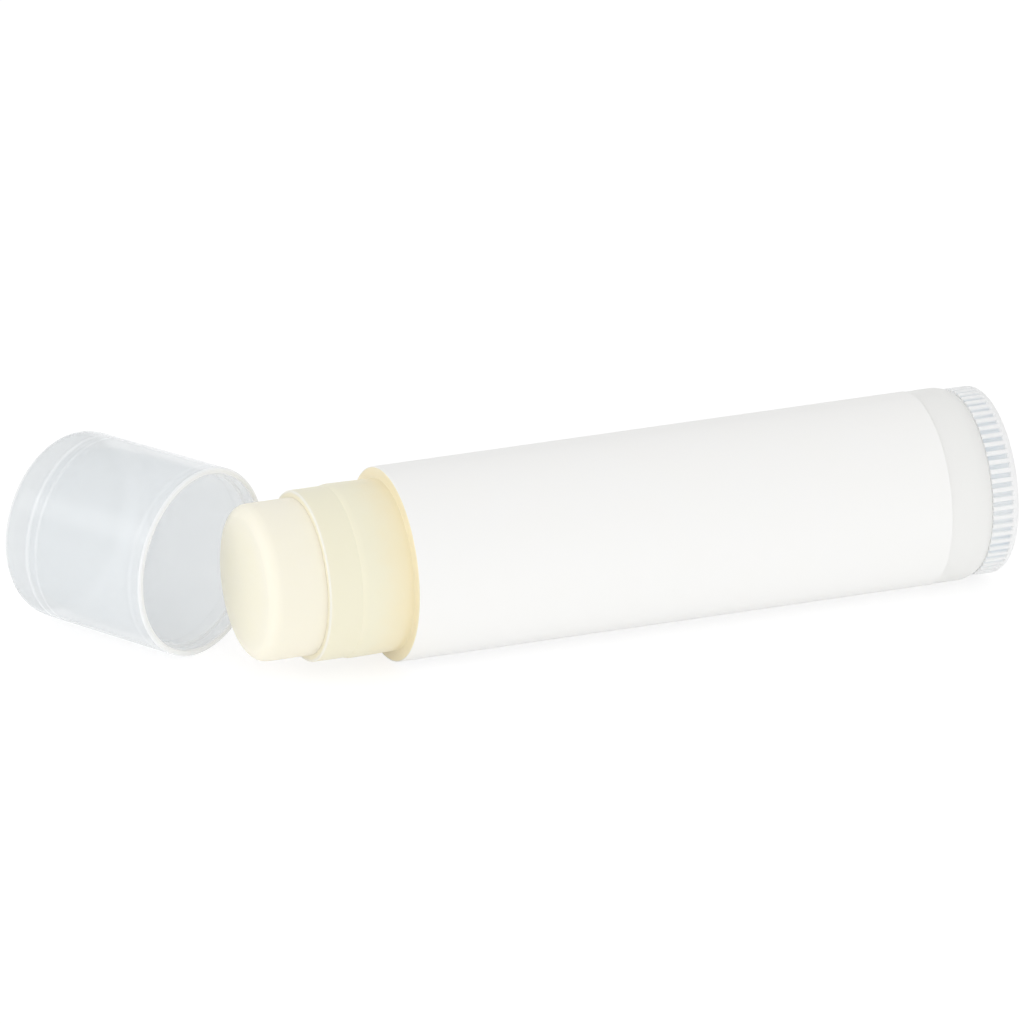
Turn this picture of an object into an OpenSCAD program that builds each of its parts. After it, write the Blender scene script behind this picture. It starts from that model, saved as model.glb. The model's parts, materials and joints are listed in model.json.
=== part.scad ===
// Twist-up lip balm stick lying on its side, wound a little way up, with its cap off beside the tip.
// Millimetres. X runs along the tube from the tip to the dial, Z is up, and the floor is z = 0.
// The tube's pieces are drawn upright first: Z is then the tube's axis, zero at the shoulder,
// negative towards the tip and positive towards the dial.

/* [Barrel] */
// Diameter of the bore that the balm slides in
bore_d = 12.9; // [12:0.05:13.5]
// Wall of the barrel round the bore
barrel_wall = 1.47; // [1.3:0.01:2]
// Length from the shoulder to the end that carries the dial
barrel_len = 50.4; // [44:0.05:60]
// Rounding of the shoulder's outer edge
shoulder_round = 0.25; // [0.1:0.05:0.5]
// How far the far end stands proud of the bare barrel
flare_h = 0.04; // [0.02:0.01:0.12]
// Length of the cone that leads up to the proud end
flare_len = 0.8; // [0.4:0.1:1.2]
// Radius of the far end's rounding
end_round = 2.3; // [1.7:0.02:2.6]
// Length of the far end that is rounded
end_round_len = 1.4; // [0.6:0.1:1.6]

/* [Neck] */
// Wall of the neck's plain front stretch
neck_wall = 0.57; // [0.5:0.01:0.7]
// Length of the neck from the shoulder to the mouth
neck_len = 7.3; // [6.5:0.05:9]
// Rounding of the mouth's outer edge
lip_round = 0.35; // [0.1:0.05:0.35]
// Rounding of the mouth's inner edge
lip_inner_round = 0.15; // [0.05:0.05:0.15]
// Distance of the snap bead's crest from the shoulder
bead_at = 4.2; // [3:0.1:5]
// Height of the snap bead over the plain neck
bead_h = 0.12; // [0.1:0.02:0.24]
// Length of the snap bead's front ramp
bead_ramp = 0.3; // [0.1:0.05:0.4]
// Height over the plain neck that is left at the shoulder
neck_root_h = 0.03; // [0.02:0.01:0.1]

/* [Label] */
// Thickness of the label
label_t = 0.08; // [0.05:0.01:0.12]
// Width of the bare strip between the shoulder and the label
label_gap = 0.25; // [0.25:0.05:1]
// Width of the bare stretch between the label and the barrel's far end
label_far_gap = 3.75; // [3:0.05:20]

/* [Dial] */
// How far the dial's ribs stay under the barrel's outer face
dial_inset = 0.2; // [0.1:0.01:0.4]
// Width of the dial's wheel
dial_w = 2.3; // [2:0.05:6]
// Gap between the barrel's end and the wheel
dial_gap = 0.1; // [0.05:0.05:0.3]
// Number of ribs round the wheel
rib_count = 62; // [40:2:72]
// Height of a rib
rib_h = 0.22; // [0.1:0.02:0.4]
// Width of a rib at its crest
rib_crest_w = 0.22; // [0.1:0.02:0.3]
// Width of a rib at its root
rib_root_w = 0.38; // [0.3:0.02:0.5]
// Rounding of the wheel's end edge
dial_round = 0.6; // [0.3:0.05:0.8]
// Rounding of the wheel's edge beside the barrel
dial_inner_round = 0.15; // [0.05:0.05:0.3]
// Width of the rim round the recess in the wheel's end face
recess_rim = 2.2; // [1.6:0.1:4]
// Depth of the recess in the wheel's end face
recess_h = 0.8; // [0.4:0.1:1.2]
// Length of the journal that turns in the barrel
journal_len = 6; // [5:0.1:8]
// Wall of the journal
journal_wall = 0.95; // [0.6:0.05:1.4]
// Radial running clearance of the journal in the bore
journal_gap = 0.05; // [0.03:0.01:0.1]
// Distance of the snap ring from the barrel's end
ring_at = 2.4; // [2.2:0.1:3.5]
// Width of the snap ring
ring_w = 0.8; // [0.5:0.1:1.2]
// Height of the snap ring over the bore
ring_h = 0.2; // [0.1:0.05:0.3]
// Clearance round the snap ring in its groove
ring_gap = 0.1; // [0.05:0.05:0.2]

/* [Spindle thread] */
// Diameter of the spindle's core
core_d = 3.2; // [2.8:0.1:3.6]
// How far the spindle reaches past the carrier's floor when the balm is wound all the way up
spindle_over = 0.65; // [0.6:0.05:2]
// Height of the thread over the core
thread_h = 0.8; // [0.6:0.05:1]
// Advance of the balm for one turn of the dial
lead = 3.75; // [3.4:0.05:4.5]
// Width of the thread at the core
thread_root_w = 1.9; // [1.7:0.1:2]
// Width of the thread at its crest
thread_crest_w = 1.1; // [0.8:0.1:1.3]
// Clearance between the spindle's thread and the nut's, on every side
thread_gap = 0.2; // [0.15:0.01:0.25]

/* [Carrier] */
// Radial clearance of the carrier in the bore
carrier_gap = 0.12; // [0.06:0.01:0.2]
// Wall of the cup and of the skirt behind it
cup_wall = 0.7; // [0.5:0.05:1]
// Depth of the cup that holds the foot of the balm
cup_depth = 5.5; // [4:0.1:6.5]
// Thickness of the cup's floor
cup_floor = 1; // [0.8:0.1:1.5]
// Length of the nut behind the cup's floor
nut_len = 5; // [4.5:0.1:5.5]
// Wall of the nut outside its thread
nut_wall = 1.2; // [0.8:0.1:1.4]
// Gap between the lowered carrier and the dial's journal
carrier_rest_gap = 0.5; // [0.3:0.1:1]
// How far the carrier's rim stays inside the mouth when the balm is wound all the way up
rim_in = 0.2; // [0.1:0.05:1]

/* [Keys] */
// Width of a key on the carrier
key_w = 1.8; // [1.2:0.1:2.4]
// Length of a key on the carrier
key_len = 3; // [2:0.1:3.2]
// How far a key reaches into the barrel's wall
key_h = 0.25; // [0.15:0.01:0.35]
// Clearance of a key in its groove
key_gap = 0.12; // [0.08:0.01:0.15]

/* [Balm] */
// Radial clearance of the balm in the bore
balm_gap = 0.07; // [0.05:0.01:0.15]
// How far the balm stands out of the neck in this pose
tip_out = 4.8; // [1:0.05:12]
// How far the balm's tip lies inside the neck when wound down
tip_in = 0.45; // [0.4:0.05:1.5]
// Rounding of the tip's edge
tip_round = 0.8; // [0.6:0.1:2]
// Radial clearance of the balm's foot in the cup
foot_gap = 0.03; // [0.02:0.01:0.1]
// Clearance of the hole in the balm round the spindle
hole_gap = 0.25; // [0.15:0.05:0.5]

/* [Cap] */
// How far the cap's mouth stays under the barrel's outer face
cap_inset = 0.04; // [0.02:0.01:0.1]
// How much the cap narrows towards its closed end, on the radius
cap_taper = 0.12; // [0.05:0.01:0.2]
// Length of the cap
cap_len = 15.45; // [13.5:0.05:18]
// Rounding of the closed end's edge
cap_round = 2; // [0.8:0.1:2.2]
// Rounding of the mouth's outer edge
cap_lip_round = 0.2; // [0.1:0.05:0.25]
// Thickness of the closed end
cap_end_wall = 1.6; // [1.2:0.1:2]
// Radius of the fillet inside the closed end
cap_fillet = 1.5; // [1:0.1:2.2]
// Radial clearance of the cap's bore over the neck's snap bead
cap_gap = 0.03; // [0.02:0.01:0.1]
// Depth of the wider lead-in at the mouth
lead_in_len = 1.1; // [0.6:0.1:1.6]
// Extra radius of the lead-in over the bore
lead_in_h = 0.2; // [0.1:0.01:0.25]
// Length of the snap ring behind the lead-in
cap_ring_len = 1.2; // [0.8:0.1:1.6]
// Height of the snap ring inside the bore
cap_ring_h = 0.08; // [0.04:0.01:0.1]
// Length of the cap's bore that grips the neck
grip_len = 8; // [7.5:0.1:9]
// How much narrower the bore is behind the grip, on the radius
cap_step_h = 0.22; // [0.15:0.01:0.3]

/* [Place of the cap] */
// How far the middle of the cap's mouth lies ahead of the balm's tip
cap_ahead = 1.35; // [1:0.05:6]
// How far the middle of the cap's mouth lies behind the tube's axis
cap_behind = 6; // [5.8:0.05:9]
// Angle in plan between the cap's axis and the tube's axis
cap_yaw = 60.75; // [55:0.25:75]

/* [Hidden] */

$fn = 96;
arc_fn = 48;
eps = 0.01;
far = 100;
thread_steps = 16;
thread_bury = 0.3;
spindle_tip_cone = 0.6;
key_count = 2;

bore_r = bore_d / 2;
barrel_r = bore_r + barrel_wall;
neck_r = bore_r + neck_wall;
bead_r = neck_r + bead_h;
neck_root_r = neck_r + neck_root_h;
end_r = barrel_r + flare_h;
end_round_z = barrel_len - end_round_len;

label_r = barrel_r + label_t;
label_len = barrel_len - label_gap - label_far_gap;
flare_z = label_gap + label_len + label_gap;

// The dial's wheel, journal and snap ring
dial_r = barrel_r - dial_inset;
recess_r = dial_r - recess_rim;
dial_root_r = dial_r - rib_h;
wheel_z = barrel_len + dial_gap;
dial_end_z = wheel_z + dial_w;
journal_z = barrel_len - journal_len;
journal_r = bore_r - journal_gap;
ring_r = bore_r + ring_h;
ring_z = barrel_len - ring_at - ring_w / 2;

// The carrier's place along the tube: wound down, in this pose and wound all the way up
carrier_len = cup_depth + cup_floor + nut_len;
lowest_foot_z = journal_z - carrier_rest_gap;
raised = tip_out + tip_in;
foot_z = lowest_foot_z - raised;
rim_z = foot_z - carrier_len;
floor_z = rim_z + cup_depth;
highest_foot_z = carrier_len - neck_len + rim_in;
carrier_r = bore_r - carrier_gap;
cup_r = carrier_r - cup_wall;

// The spindle and its thread, and the space that the nut's thread takes between its turns
core_r = core_d / 2;
thread_r = core_r + thread_h;
flank = (thread_root_w - thread_crest_w) / thread_h;
spindle_z = highest_foot_z - nut_len - cup_floor - spindle_over;
thread_near_z = journal_z + thread_root_w / 4;
thread_far_z = spindle_z + spindle_tip_cone + thread_root_w;
thread_turns = (thread_near_z - thread_far_z) / lead;
nut_bore_r = thread_r + thread_gap;
nut_crest_r = core_r + thread_gap;
nut_r = nut_bore_r + nut_wall;

// A key and its groove, which runs on to the barrel's end
key_r = bore_r + key_h;
groove_r = key_r + key_gap;
groove_w = key_w + 2 * key_gap;
groove_z = highest_foot_z - key_len - 2 * key_gap;

// The balm and the hole that the spindle leaves in it when it is wound down
tip_z = -neck_len - tip_out;
balm_r = bore_r - balm_gap;
balm_foot_r = cup_r - foot_gap;
hole_r = thread_r + hole_gap;
hole_z = spindle_z - raised - hole_gap;

// The cap, drawn upright from its mouth to its closed end
cap_r = barrel_r - cap_inset;
cap_end_r = cap_r - cap_taper;
cap_bore_r = bead_r + cap_gap;
lead_in_r = cap_bore_r + lead_in_h;
cap_ring_r = cap_bore_r - cap_ring_h;
cap_deep_r = cap_bore_r - cap_step_h;
cap_floor_z = cap_len - cap_end_wall;
cap_ring_end_z = lead_in_len + cap_ring_len;

// The cap lies on its tapered side, so its axis dips by the taper towards the closed end
cap_dip = atan(cap_taper / cap_len);
cap_heading = 180 - cap_yaw;
cap_mouth = [tip_z - cap_ahead, cap_behind, cap_r * cos(cap_dip)];
cap_axis = [cos(cap_dip) * cos(cap_heading), cos(cap_dip) * sin(cap_heading), -sin(cap_dip)];

// Reach of the cap in a level direction: of its rounded closed end and of its mouth
function disc_reach(centre, radius, edge, way) =
    centre * way + (radius - edge) * sqrt(1 - pow(cap_axis * way, 2)) + edge;
function cap_reach(way) = max(
    disc_reach(cap_mouth + cap_axis * (cap_len - cap_round), cap_end_r, cap_round, way),
    disc_reach(cap_mouth + cap_axis * cap_lip_round, cap_r, cap_lip_round, way)
);

// The origin is the middle of the whole object's footprint
low_x = -cap_reach([-1, 0, 0]);
high_x = max(dial_end_z, cap_reach([1, 0, 0]));
low_y = min(-label_r, -cap_reach([0, -1, 0]));
high_y = max(label_r, cap_reach([0, 1, 0]));
origin_x = (low_x + high_x) / 2;
origin_y = (low_y + high_y) / 2;

// Lays an upright piece of the tube down along X
module lay_tube() {
    translate([-origin_x, -origin_y, label_r]) rotate([0, 90, 0]) children();
}

// Lays the upright cap down on its side, beside the tip
module lay_cap() {
    translate(cap_mouth - [origin_x, origin_y, 0])
        rotate([0, 0, cap_heading])
            rotate([0, 90 + cap_dip, 0])
                children();
}

// What rounding takes off an outer corner at [r, z]; way is 1 where the piece ends upwards
module corner_off(r, z, radius, way, side = 1) {
    translate([r - side * radius, z - way * radius])
        mirror([side > 0 ? 0 : 1, 0])
            mirror([0, way > 0 ? 0 : 1])
                difference() {
                    square(radius + eps);
                    circle(radius, $fn = arc_fn);
                }
}

// One cross-section of a helical ridge, at the angle a round the axis
function ridge_section(a, z, inner_r, outer_r, inner_w, outer_w) = [
    for (p = [[inner_r, -inner_w], [outer_r, -outer_w], [outer_r, outer_w], [inner_r, inner_w]])
        [p[0] * cos(a), p[0] * sin(a), z + p[1] / 2]
];

// The two triangles of side k between the sections i and i + 1
function ridge_side(i, k) =
    let (a = 4 * i + k, b = 4 * i + (k + 1) % 4)
    [[a, b, b + 4], [a, b + 4, a + 4]];

// A left-hand helical ridge: it climbs towards the tip as it turns
module ridge(start_a, start_z, turns, inner_r, outer_r, inner_w, outer_w) {
    steps = ceil(turns * thread_steps);
    step = turns * 360 / steps;
    points = [
        for (i = [0 : steps])
            each ridge_section(start_a + i * step, start_z - i * step * lead / 360,
                               inner_r, outer_r, inner_w, outer_w)
    ];
    last = 4 * steps;
    start_cap = [[0, 2, 1], [0, 3, 2]];
    end_cap = [[last, last + 1, last + 2], [last, last + 2, last + 3]];
    sides = [for (i = [0 : steps - 1], k = [0 : 3]) each ridge_side(i, k)];
    polyhedron(points, concat(start_cap, sides, end_cap));
}

// The spindle's thread, with its root inside the core
module spindle_thread() {
    ridge(0, thread_near_z, thread_turns, core_r - thread_bury, thread_r,
          thread_root_w + flank * thread_bury, thread_crest_w);
}

// The nut's thread, half a lead away from the spindle's and as wide as the clearance leaves it
module nut_thread() {
    inner_w = lead - 2 * thread_gap - thread_root_w + flank * (nut_crest_r - core_r);
    wall_w = lead - 2 * thread_gap - thread_root_w + flank * (nut_bore_r - core_r);
    bury_w = wall_w + flank * thread_bury;
    start_z = foot_z - bury_w / 2;
    start_a = (thread_near_z + lead / 2 - start_z) * 360 / lead;
    turns = (nut_len + cup_floor - bury_w) / lead;
    ridge(start_a, start_z, turns, nut_crest_r, nut_bore_r + thread_bury, inner_w, bury_w);
}

// Barrel: outline of its wall
module barrel_section() {
    difference() {
        union() {
            polygon([[0, 0], [barrel_r, 0], [barrel_r, flare_z], [end_r, flare_z + flare_len],
                     [end_r, end_round_z], [0, end_round_z]]);
            intersection() {
                translate([end_r - end_round, end_round_z]) circle(end_round);
                translate([0, end_round_z - eps]) square([end_r, end_round_len + eps]);
            }
            translate([0, end_round_z - eps]) square([end_r - end_round, end_round_len + eps]);
            translate([0, -neck_len]) square([neck_r, neck_len]);
            polygon([[0, -bead_at - bead_ramp], [neck_r, -bead_at - bead_ramp], [bead_r, -bead_at],
                     [neck_root_r, 0], [0, 0]]);
        }
        translate([0, -neck_len - eps]) square([bore_r, neck_len + barrel_len + 2 * eps]);
        translate([0, ring_z - ring_gap]) square([ring_r + ring_gap, ring_w + 2 * ring_gap]);
        corner_off(neck_r, -neck_len, lip_round, -1);
        corner_off(bore_r, -neck_len, lip_inner_round, -1, -1);
        difference() {
            corner_off(barrel_r, 0, shoulder_round, -1);
            square([neck_root_r, eps]);
        }
    }
}

module key_groove() {
    translate([0, -groove_w / 2, groove_z]) cube([groove_r, groove_w, far]);
}

module barrel() {
    color("lemonchiffon") lay_tube() difference() {
        rotate_extrude() barrel_section();
        for (k = [1 : key_count]) rotate(k * 360 / key_count) key_groove();
    }
}

module label() {
    color("white") lay_tube() translate([0, 0, label_gap]) difference() {
        cylinder(h = label_len, r = label_r);
        translate([0, 0, -eps]) cylinder(h = label_len + 2 * eps, r = barrel_r);
    }
}

// Dial: one rib, standing on the wheel's root circle
module rib() {
    polygon([[0, -rib_root_w / 2], [dial_root_r, -rib_root_w / 2], [dial_r, -rib_crest_w / 2],
             [dial_r, rib_crest_w / 2], [dial_root_r, rib_root_w / 2], [0, rib_root_w / 2]]);
}

module wheel() {
    difference() {
        intersection() {
            linear_extrude(dial_w) union() {
                circle(dial_root_r);
                for (k = [1 : rib_count]) rotate(k * 360 / rib_count) rib();
            }
            rotate_extrude() difference() {
                square([dial_r, dial_w]);
                corner_off(dial_r, dial_w, dial_round, 1);
                corner_off(dial_r, 0, dial_inner_round, -1);
            }
        }
        translate([0, 0, dial_w - recess_h]) cylinder(h = recess_h + eps, r = recess_r);
    }
}

// The hollow journal with its snap ring, which has a ramp on the side that goes in first
module journal() {
    rotate_extrude() difference() {
        union() {
            translate([0, journal_z]) square([journal_r, wheel_z - journal_z + eps]);
            polygon([[0, ring_z], [journal_r, ring_z], [ring_r, ring_z + ring_w / 2],
                     [ring_r, ring_z + ring_w], [0, ring_z + ring_w]]);
        }
        translate([0, journal_z - eps]) square([journal_r - journal_wall, wheel_z - journal_z + eps]);
    }
}

module spindle() {
    translate([0, 0, spindle_z + spindle_tip_cone])
        cylinder(h = wheel_z + dial_w / 4 - spindle_z - spindle_tip_cone, r = core_r);
    translate([0, 0, spindle_z])
        cylinder(h = spindle_tip_cone, r1 = core_r - spindle_tip_cone, r2 = core_r);
    spindle_thread();
}

module dial() {
    color("aliceblue") lay_tube() {
        translate([0, 0, wheel_z]) wheel();
        journal();
        spindle();
    }
}

// Carrier: the cup, the skirt round the nut and the nut's wall
module carrier_section() {
    difference() {
        translate([0, rim_z]) square([carrier_r, carrier_len]);
        translate([0, rim_z - eps]) square([cup_r, cup_depth + eps]);
        translate([nut_r, floor_z + cup_floor]) square([cup_r - nut_r, nut_len + eps]);
        translate([0, rim_z]) square([nut_bore_r, carrier_len + eps]);
    }
}

module key() {
    translate([cup_r + cup_wall / 2, -key_w / 2, foot_z - key_len])
        cube([key_r - cup_r - cup_wall / 2, key_w, key_len]);
}

module carrier() {
    color("whitesmoke") lay_tube() {
        rotate_extrude() carrier_section();
        nut_thread();
        for (k = [1 : key_count]) rotate(k * 360 / key_count) key();
    }
}

// Balm: the stick itself, and the foot that the cup holds
module balm() {
    color("cornsilk") lay_tube() rotate_extrude() difference() {
        union() {
            translate([0, tip_z]) square([balm_r, rim_z - tip_z]);
            translate([0, tip_z + tip_round]) square([balm_foot_r, floor_z - tip_z - tip_round]);
        }
        corner_off(balm_r, tip_z, tip_round, -1);
        translate([0, hole_z]) square([hole_r, far]);
    }
}

// Cap: outline of its wall, with the lead-in and the snap ring at its mouth
module cap_section() {
    difference() {
        polygon([[0, 0], [cap_r, 0], [cap_end_r, cap_len], [0, cap_len]]);
        corner_off(cap_r, 0, cap_lip_round, -1);
        corner_off(cap_end_r, cap_len, cap_round, 1);
        translate([0, -eps]) square([lead_in_r, lead_in_len + eps]);
        square([cap_ring_r, grip_len]);
        translate([0, cap_ring_end_z]) square([cap_bore_r, grip_len - cap_ring_end_z]);
        difference() {
            square([cap_deep_r, cap_floor_z]);
            corner_off(cap_deep_r, cap_floor_z, cap_fillet, 1);
        }
    }
}

module cap() {
    color("lightsteelblue", 0.7) lay_cap() rotate_extrude() cap_section();
}

barrel();
label();
dial();
carrier();
balm();
cap();
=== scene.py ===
"""Looks of a twist-up lip balm stick that lies on its side, with its cap off beside the tip."""

import json
import math

import bmesh
import bpy
from mathutils import Matrix, Vector


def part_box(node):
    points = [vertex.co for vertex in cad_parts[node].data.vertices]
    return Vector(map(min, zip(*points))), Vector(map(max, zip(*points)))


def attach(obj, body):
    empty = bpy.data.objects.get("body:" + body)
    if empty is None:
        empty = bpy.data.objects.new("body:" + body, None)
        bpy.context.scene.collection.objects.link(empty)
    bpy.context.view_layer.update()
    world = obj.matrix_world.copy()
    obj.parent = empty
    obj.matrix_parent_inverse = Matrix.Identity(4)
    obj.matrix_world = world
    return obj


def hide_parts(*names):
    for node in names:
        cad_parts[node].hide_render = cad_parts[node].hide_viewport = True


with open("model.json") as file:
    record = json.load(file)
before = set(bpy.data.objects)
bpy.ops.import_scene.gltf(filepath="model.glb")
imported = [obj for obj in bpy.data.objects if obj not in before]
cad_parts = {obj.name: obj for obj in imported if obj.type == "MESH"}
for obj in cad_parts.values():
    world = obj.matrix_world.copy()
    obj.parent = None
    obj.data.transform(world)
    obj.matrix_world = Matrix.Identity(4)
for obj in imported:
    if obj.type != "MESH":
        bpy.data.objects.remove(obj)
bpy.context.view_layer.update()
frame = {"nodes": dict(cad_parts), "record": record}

bl_info = {
    "name": "Lip balm stick",
    "version": (1, 0, 0),
    "blender": (4, 5, 0),
    "location": "View3D > Sidebar > Lip balm",
    "description": "Builds the visible pieces of a lip balm stick on its CAD frame",
    "category": "Object",
}

MM = 0.001
QUARTER_TURN = math.radians(90)

# Faces round a turned piece, across a rounded edge and along a drawn arc, and steps in a turn of the thread
ROUND_FACES = 192
EDGE_FACES = 6
ARC_FACES = 8
THREAD_STEPS = 32

# Vertices nearer than WELD are merged while a piece is drawn, and nearer than LAST_WELD when it is finished.
# One nearer than ON_RING to a ring counts as on it
WELD = 0.001 * MM
LAST_WELD = 0.0005 * MM
ON_RING = 0.002 * MM

# Edges that turn by more than this are shaded sharp
SHARP = math.radians(32)

# Radius of the small ring that a flat round face closes on
POLE = 0.6 * MM

# The tube's place, and the middle and direction of the bore with which the cap grips, from the CAD frame
TUBE_AXIS = (1, 0, 0)
LABEL_LOW, LABEL_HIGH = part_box("label")
AXIS_Y = (LABEL_LOW.y + LABEL_HIGH.y) / 2
AXIS_Z = (LABEL_LOW.z + LABEL_HIGH.z) / 2
MOUNTS = {mount["name"]: mount for mount in frame["record"]["mounts"]}
CAP_GRIP = Vector(MOUNTS["cap_mouth"]["pos_m"])
CAP_AXIS = -Vector(MOUNTS["cap_mouth"]["axis"]).normalized()

# Node settings that are used again and again, and the Mix node's colour sockets
SMOOTH = {"interpolation_type": "SMOOTHSTEP"}
TIMES = {"operation": "MULTIPLY"}
LARGER = {"operation": "MAXIMUM"}
SCATTER = {"subsurface_method": "RANDOM_WALK"}
COLOUR_MIX = {"data_type": "RGBA"}
FIRST_COLOUR = 6
SECOND_COLOUR = 7
MIXED_COLOUR = 2

# Light goes equally deep in every colour, so the milky plastics and the wax keep their tints
EVEN_DEPTH = (1, 1, 1)

WHITE = (1, 1, 1, 1)
POLYPROPYLENE_IOR = 1.49
WAX_IOR = 1.44

# The paper under the object: how pale it is, and how much it glows. Light on its way to other surfaces meets
# the first, and the camera, gloss and clear plastic see the second, nearly white with a faint shadow
PAPER_FOR_LIGHT = (0.95, 0.13)
PAPER_FOR_EYE = (0.3, 0.78)

# How far the paper reaches from the frame's origin, each way
PAPER_REACH = 1.5

# Strength of the room's light from in front of the object and from behind it
ROOM_FRONT = 0.95
ROOM_BACK = 0.74

# Name, place, width, height in metres and power in watts
SOFTBOXES = (
    ("softbox_front", (-0.4, -0.8, 0.15), 0.9, 0.26, 0.6),
    ("softbox_left", (-0.82, 0.1, 0.45), 0.7, 0.3, 1.3),
)

# The photograph's camera: its direction and distance from the label's front end at floor level, how far its
# aim lies right of that point and above it for each metre ahead, and its focal length in the frame's pixels
CAMERA_AZIMUTH = math.radians(-21.148)
CAMERA_ELEVATION = math.radians(22.009)
CAMERA_DISTANCE = 1.484564
AIM_RIGHT = 0.0068536
AIM_UP = 0.0078369
FOCAL_PIXELS = 18283.458
FRAME_PIXELS = 1024
SENSOR_MM = 36
NEAREST_SEEN = 0.1
FARTHEST_SEEN = 10


def linear(code):
    """The linear colour of an sRGB hex value."""
    parts = [int(code[i : i + 2], 16) / 255 for i in (1, 3, 5)]
    return [c / 12.92 if c <= 0.04045 else ((c + 0.055) / 1.055) ** 2.4 for c in parts] + [1]


def length(name, description, value):
    """A length, with its default given in millimetres."""
    return bpy.props.FloatProperty(
        name=name, description=description, default=value * MM, min=0, unit="LENGTH", precision=5
    )


def colour(name, description, code):
    """A colour, with its default given as an sRGB hex value."""
    return bpy.props.FloatVectorProperty(
        name=name, description=description, default=linear(code), size=4, min=0, max=1, subtype="COLOR"
    )


class TubeSizes(bpy.types.PropertyGroup):
    bore: length("Bore", "Radius of the bore that the balm slides in", 6.45)
    neck: length("Neck", "Radius of the neck's plain front stretch", 7.02)
    neck_len: length("Neck length", "Length from the shoulder to the mouth", 7.3)
    neck_root: length("Neck root", "Radius of the neck where it meets the shoulder", 7.05)
    root_round: length("Neck root rounding", "Rounding of the corner between neck and shoulder", 0.12)
    lip_round: length("Lip rounding", "Rounding of the mouth's outer edge", 0.16)
    bead: length("Bead", "Radius over the neck's snap bead", 7.14)
    bead_at: length("Bead place", "Distance of the bead's crest from the shoulder", 4.2)
    bead_ramp: length("Bead ramp", "Length of the bead's front ramp", 0.3)
    bead_round: length("Bead rounding", "Rounding of the bead's crest", 0.3)
    barrel: length("Barrel", "Outer radius of the bare barrel", 7.92)
    barrel_len: length("Barrel length", "Length from the shoulder to the dial's end", 50.4)
    shoulder_round: length("Shoulder rounding", "Rounding of the shoulder's outer edge", 0.06)
    flare: length("Flare", "Radius of the barrel's proud far end", 7.96)
    flare_len: length("Flare length", "Length over which the far end flares", 0.8)
    end_round: length("End rounding", "Radius of the far end's rounding", 2.3)
    end_round_len: length("End rounding length", "Length of the far end that is rounded", 1.4)
    snap: length("Snap groove", "Depth of the groove for the dial's snap ring", 0.3)
    snap_start: length("Snap groove start", "Distance of the groove's near side from the shoulder", 47.5)
    snap_end: length("Snap groove end", "Distance of the groove's far side from the shoulder", 48.5)
    key_groove: length("Key groove", "Radius at the bottom of the grooves for the carrier's keys", 6.82)
    key_groove_wide: length("Key groove width", "Width of a key groove", 2.04)
    key_groove_start: length("Key groove start", "Distance of the grooves' near ends from the shoulder", 1.16)
    key_groove_end: length("Key groove end", "Distance of the grooves' far ends from the shoulder", 46.5)
    label: length("Label", "Outer radius of the label", 8.0)
    label_gap: length("Label gap", "Bare strip between the shoulder and the label", 0.25)
    label_len: length("Label length", "Length of the label along the barrel", 46.4)
    label_over: length("Label reach", "How far the label's edge reaches over the bare strip", 0.2)
    label_round: length("Label rounding", "Rounding of the label's edges", 0.03)
    label_lift: length("Label lift", "How far the label's inside stands off the barrel", 0.002)


class DialSizes(bpy.types.PropertyGroup):
    ribs: bpy.props.IntProperty(name="Ribs", description="Number of ribs round the wheel", default=62, min=8)
    crest: length("Crest", "Radius over the dial's ribs", 7.72)
    root: length("Root", "Radius between the dial's ribs", 7.5)
    rib_crest: length("Rib crest", "Width of a rib at its crest", 0.3)
    rib_root: length("Rib root", "Width of a rib at its root", 0.5)
    rim_ramp: length("Rim ramp", "Length over which the ribs run out into the plain rim", 0.1)
    width: length("Width", "Width of the wheel", 2.3)
    gap: length("Gap", "Gap between the barrel's end and the wheel in the CAD", 0.1)
    slit: length("Slit", "Slit that is left of that gap", 0.005)
    end_round: length("End rounding", "Rounding of the wheel's end edge", 0.6)
    inner_round: length("Inner rounding", "Rounding of the wheel's edge beside the barrel", 0.06)
    recess: length("Recess", "Radius of the recess in the end face", 5.52)
    recess_depth: length("Recess depth", "Depth of the recess in the end face", 0.8)
    recess_edge: length("Recess edge", "Chamfer of the recess's outer edge", 0.25)
    recess_foot: length("Recess foot", "Chamfer at the foot of the recess's wall", 0.3)
    journal: length("Journal", "Radius of the journal in the bore", 6.4)
    journal_wall: length("Journal wall", "Wall of the hollow journal", 0.95)
    journal_len: length("Journal length", "Length of the journal in the barrel", 6.0)
    journal_edge: length("Journal edge", "Chamfer of the journal's far edge", 0.1)
    snap: length("Snap ring", "How far the snap ring stands over the bore", 0.2)
    snap_at: length("Snap ring place", "Distance of the snap ring's crest from the barrel's end", 2.4)
    snap_ramp: length("Snap ring ramp", "Length of the snap ring's crest, and of the ramp before it", 0.4)
    core: length("Core", "Radius of the spindle's core", 1.6)
    spindle_tip: length("Spindle tip", "Distance from the shoulder to the spindle's tip, in the neck", 2.25)
    spindle_cone: length("Spindle cone", "Height and length of the spindle's tapered tip", 0.6)
    thread: length("Thread", "Height of the thread over the core", 0.8)
    thread_root: length("Thread root", "Width of the thread at the core", 1.9)
    thread_crest: length("Thread crest", "Width of the thread at its crest", 1.1)
    thread_sunk: length("Thread sunk", "How deep the thread's foot is sunk in the core", 0.3)
    lead: length("Lead", "Advance of the balm for one turn", 3.75)


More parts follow.
